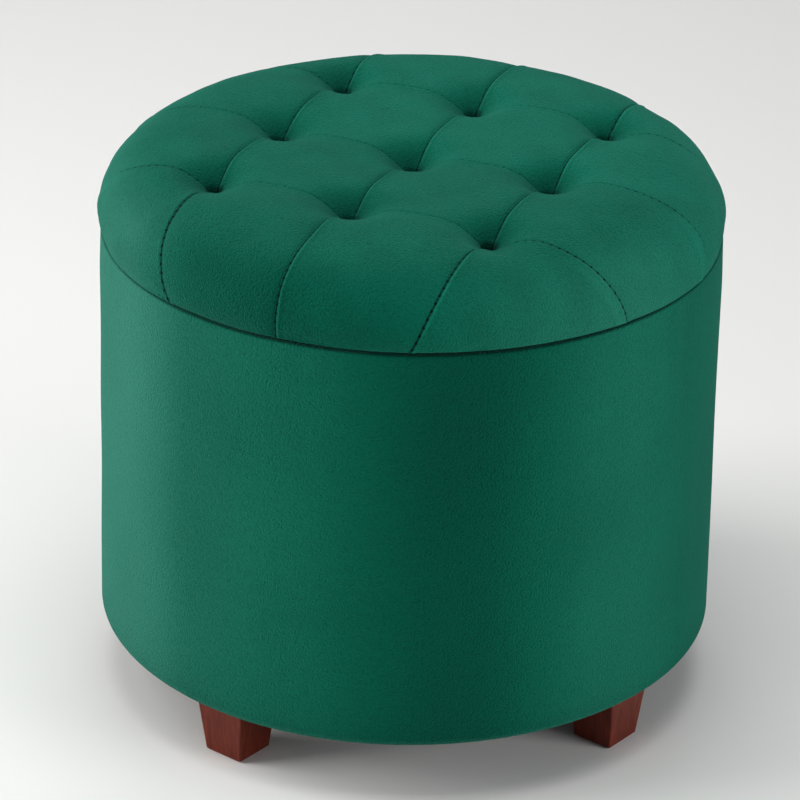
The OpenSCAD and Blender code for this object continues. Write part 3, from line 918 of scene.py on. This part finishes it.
# Painted shade on the rim just under the lid's edge, over this height
RIM_GAP_PAINTED_SHADE = 1.5 * MM
DRUM_MOTTLE = 0.04
# The upright seam at the back, and how far round it the cloth is still
BACK = math.pi / 2
BACK_SEAM = (1.3 * MM, 1.3 * MM)
BACK_STILL = 18 * MM

drum_swell = Waves(160 * MM)
drum_ripple = Waves(60 * MM)
rim_ripple = Waves(24 * MM)


def arc(r, z, radius, start, end, count):
    angles = np.radians(np.linspace(start, end, count))
    return [(r + radius * math.cos(a), z + radius * math.sin(a)) for a in angles]


def drum_outline():
    """The drum cover's section: under the drum, up the side, over the rim and inside."""
    inner_r = corners("wall_inner_ply")[1].x - INSIDE_RIM
    side_z, roll_z = DRUM_Z + BOTTOM_ROLL_R, RIM_Z - RIM_ROLL_R
    points = [(DRUM_R - d, DRUM_Z) for d in UNDER_RINGS]
    points += arc(DRUM_R - BOTTOM_ROLL_R, side_z, BOTTOM_ROLL_R, -90, 0, 9)
    points += [(DRUM_R, side_z + (roll_z - side_z) * k / SIDE_RINGS) for k in range(1, SIDE_RINGS)]
    points += arc(DRUM_R - RIM_ROLL_R, roll_z, RIM_ROLL_R, 0, 90, 7)
    points += arc(inner_r + RIM_ROLL_R, roll_z, RIM_ROLL_R, 90, 180, 7)
    points += [(inner_r, roll_z - (TURN_IN - RIM_ROLL_R) * k / 8) for k in range(1, 9)]
    return np.array(points)


def drum_cover(velvet):
    outline = drum_outline()
    phi = np.linspace(0, 2 * math.pi, DRUM_COLUMNS, endpoint=False)
    r = np.repeat(outline[:, :1], DRUM_COLUMNS, 1)
    z = np.repeat(outline[:, 1:], DRUM_COLUMNS, 1)
    angle = np.repeat(phi[None], len(outline), 0)
    around = angle * DRUM_R
    from_back = (angle - BACK) * DRUM_R
    outer = smoothstep(r, DRUM_R - SIDE_STARTS[0], DRUM_R - SIDE_STARTS[1])
    height = np.clip((z - DRUM_Z) / (RIM_Z - DRUM_Z), 0, 1)

    wave = DRUM_SWELL * drum_swell(around, z) + DRUM_RIPPLE * drum_ripple(around, z * 0.2)
    wave = wave * np.sin(math.pi * height) ** 0.5
    below_rim = np.maximum(RIM_Z - z, 0)
    ripple = RIM_RIPPLE * rim_ripple(around, z * 0.12) * np.exp(-below_rim / RIM_RIPPLE_ENDS)
    ripple = ripple * (1 - np.exp(-below_rim / RIM_RIPPLE_STARTS))
    ripple = ripple * (0.55 + 0.45 * drum_swell(around + 0.3, 0 * z))
    full = DRUM_FULLER * smoothstep(1 - height, 0.0, DRUM_ENDS) + DRUM_FLARE * (1 - height) ** 1.5
    r = r + outer * (full + (wave + ripple) * MM * (1 - bell(from_back, BACK_STILL)))
    below = bell(r - DRUM_R + BOTTOM_BULGE_REACH, BOTTOM_BULGE_REACH)
    below = below * smoothstep(r, DRUM_R - BULGE_STARTS, DRUM_R - BOTTOM_BULGE_REACH)
    below = below * (1 - smoothstep(height, 0.0, DRUM_ENDS))
    sag = np.maximum(0, np.cos(from_front(angle) - BOTTOM_SAG_AT)) ** 2
    z = z - (BOTTOM_BULGE + BOTTOM_SAG * sag) * below
    r = r - outer * crease(np.abs(from_back), BACK_SEAM)

    faces = grid_faces(len(outline), DRUM_COLUMNS, wrap=True)
    obj = mesh_object("drum_velvet", on_circle(r, angle, z), faces, velvet)
    # Painted brightness round the drum, of pile lie with painted light and sheen, then painted shade
    # under the lid's edge and towards the bottom, and random mottling
    light, pale = pile_and_painted_light_round(DRUM_PILE_AND_PAINTED_LIGHT, angle)
    light = light * (1 - GAP_PAINTED_SHADE * smoothstep(z, RIM_Z - RIM_GAP_PAINTED_SHADE, RIM_Z) * outer)
    above = np.maximum(z - DRUM_Z, 0)
    light = light * (1 - BOTTOM_SHADE * np.exp(-above / BOTTOM_SHADE_REACH))
    add_pile_and_painted_light(obj, light * (1 + DRUM_MOTTLE * drum_swell(around, z)), pale)
    thicken(obj, DRUM_VELVET_T)
    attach(obj, "drum")
    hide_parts("body_cover", "wall_foam")


# ---------------------------------------------------------------- linings

LINING_T = 0.5 * MM
FLOOR_LINING_T = 0.6 * MM
WALL_LINING_T = 0.8 * MM
DISC_COLUMNS = 360
# How far the loose cloth stands off what it lies on
SLACK = 0.9 * MM
FLOOR_SLACK, FLOOR_SUNK = 0.6 * MM, 0.25 * MM
WALL_SLACK, WALL_CREASE = 0.9 * MM, 0.5 * MM
# The dust cover lies lower between its staples, which are 10 degrees apart
STAPLED_UP, BETWEEN_STAPLES = 0.25 * MM, 0.6 * MM
STAPLES_ROUND = 36
# The wall lining's stitched hem and the lap at the back, from the top and in length
HEM, HEM_STEP, HEM_STITCH, HEM_PULL = 10 * MM, 0.5 * MM, 5 * MM, 0.35 * MM
LAP, LAP_STEP = 14 * MM, 0.5 * MM

lining_wave = Waves(70 * MM)
lining_crease = Waves(26 * MM)


def disc(name, profile, rings, material, shift):
    """A round sheet on a profile of radii and heights, moved up by shift(x, y, radius)."""
    shares = np.linspace(0, 1, len(profile))
    radii, heights = np.array(profile).T
    r = np.interp(np.linspace(0, 1, rings), shares, radii)
    z = np.interp(r, radii, heights)
    r[0] = 0.05 * MM
    phi = np.linspace(0, 2 * math.pi, DISC_COLUMNS, endpoint=False)
    r, angle = np.meshgrid(r, phi, indexing="ij")
    z = z[:, None] + shift(r * np.cos(angle), r * np.sin(angle), r)
    faces = grid_faces(rings, DISC_COLUMNS, wrap=True)
    return mesh_object(name, on_circle(r, angle, z), faces, material)


def wall_lining(material):
    """The storage space's wall lining: stretched round, lapped at the back, hemmed at the top."""
    low, high = corners("wall_lining")
    inside = corners("floor_lining")[1].x + 0.4 * MM
    columns, rows = 480, 80
    phi = np.linspace(0, 2 * math.pi, columns, endpoint=False)
    angle, z = np.meshgrid(phi, np.linspace(low.z, high.z, rows))
    around, above, down = angle * inside, z - low.z, high.z - z
    free = smoothstep(above, 4 * MM, 40 * MM) * smoothstep(down, 12 * MM, 40 * MM)
    slack = WALL_SLACK * np.abs(lining_wave(around, z * 0.35))
    slack = slack + WALL_CREASE * np.abs(lining_crease(around, z * 0.2))
    r = inside - slack * free
    r = r - HEM_STEP * (1 - smoothstep(down, HEM - 1 * MM, HEM))
    pulled = 0.5 + 0.5 * np.cos(around * 2 * math.pi / HEM_STITCH)
    r = r + HEM_PULL * bell(down - 8 * MM, 0.8 * MM) * pulled
    past_seam = around - inside * BACK
    lap = smoothstep(past_seam, 0, 1.2 * MM) * (1 - smoothstep(past_seam, LAP, 40 * MM))
    r = r - LAP_STEP * lap * (above > 6 * MM)
    faces = grid_faces(rows, columns, wrap=True)[:, ::-1]
    obj = mesh_object("wall_lining_cloth", on_circle(r, angle, z), faces, material)
    thicken(obj, WALL_LINING_T)
    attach(obj, "drum")
    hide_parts("wall_lining")


def floor_lining(material):
    high = corners("floor_lining")[1]
    edge = high.x - 0.2 * MM

    def shift(x, y, r):
        free = 1 - smoothstep(r, edge - 25 * MM, edge - 6 * MM)
        return FLOOR_SLACK * np.abs(lining_wave(x, y)) * free - FLOOR_SUNK

    obj = disc("floor_lining_cloth", [(0, high.z), (edge, high.z)], 120, material, shift)
    obj.data.flip_normals()
    thicken(obj, FLOOR_LINING_T)
    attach(obj, "drum")
    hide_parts("floor_lining")


def closing_cloth(node, body, fold, slack_ends, material, edge_shift):
    """The cloth that closes the drum's or the lid's underside: against the board in the
    middle, and over the velvet folded under the edge."""
    low, high = corners(node)
    edge = high.x
    inner_z = high.z - LINING_T

    def shift(x, y, r):
        free = 1 - smoothstep(r, fold - slack_ends, fold - 12 * MM)
        return edge_shift(x, y, r, edge) - SLACK * np.abs(lining_wave(x, y)) * free

    profile = [(0, inner_z), (fold - 5 * MM, inner_z), (fold - 1 * MM, low.z), (edge, low.z)]
    obj = disc(node + "_cloth", profile, 160, material, shift)
    thicken(obj, LINING_T)
    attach(obj, body)
    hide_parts(node)


def dust_cover(material):
    fold = DRUM_R - FOLD_UNDER

    def stapled(x, y, r, edge):
        bearing = np.arctan2(y, x)
        between_feet = np.abs(np.cos(2 * bearing)) ** 0.7
        lower = BETWEEN_STAPLES * np.abs(np.sin(bearing * STAPLES_ROUND / 2)) * between_feet
        return smoothstep(r, fold + 12 * MM, edge - 4 * MM) * (STAPLED_UP - lower)

    closing_cloth("dust_cover", "drum", fold, 60 * MM, material, stapled)


def lid_underlining(material):
    fold = DRUM_R - LID_FOLD
    closing_cloth("lid_underlining", "lid", fold, 50 * MM, material, lambda x, y, r, edge: 0)


# ---------------------------------------------------------------- build


def paint(node, material):
    obj = frame["nodes"][node]
    if not len(obj.material_slots):
        obj.data.materials.append(material)
    for slot in obj.material_slots:
        slot.material = material


make_camera()
make_studio()
velvet_drum = material_velvet("velvet_drum", seamed=False)
lining = material_lining()
foam = material_soft("foam", FOAM)
LOOKS = {
    "board": material_board(),
    "foot_wood": material_foot(),
    "black_lining": lining,
    "steel": material_metal("staple_steel", STEEL, 0.35),
    "zinc": material_metal("yellow_zinc", ZINC, 0.38),
    "foam": foam,
    "fibre": foam,
    "twine": material_soft("twine", TWINE),
    "velvet": velvet_drum,
}
lid_cover(material_velvet("velvet_lid", seamed=True))
drum_cover(velvet_drum)
wall_lining(lining)
floor_lining(lining)
dust_cover(lining)
lid_underlining(lining)
for part in frame["record"]["subparts"]:
    paint(part["node"], LOOKS[part["material_slot"]])
